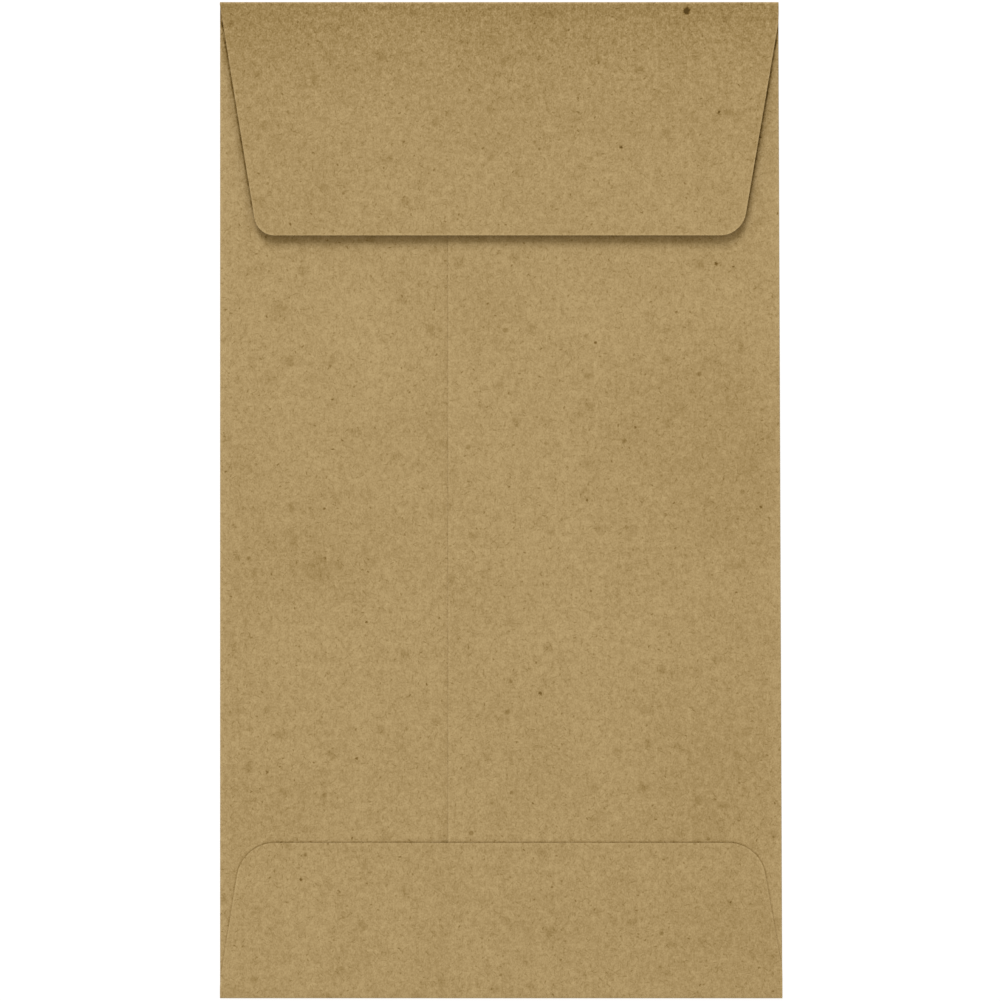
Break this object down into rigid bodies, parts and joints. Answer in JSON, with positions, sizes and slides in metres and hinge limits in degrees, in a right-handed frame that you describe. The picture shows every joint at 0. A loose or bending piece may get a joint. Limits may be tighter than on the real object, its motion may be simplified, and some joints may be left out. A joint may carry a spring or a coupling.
{
  "type": "paper envelope",
  "caption": "Brown kraft coin envelope with an off-centre back seam, a glued bottom flap and a loose closing flap folded over its mouth.",
  "frame": {"origin": "middle of the folded envelope's outline, on the outside of the face panel", "axes": "+X across the envelope towards the fold of the wide seam panel, +Y from the bottom fold to the closing fold, +Z out of the face panel towards the flaps"},
  "size_m": [0.086, 0.1524, 0.0018],
  "materials": {
    "kraft_paper": "matte"
  },
  "bodies": {
    "root": {"envelope": "kraft_paper"}
  },
  "joints": []
}
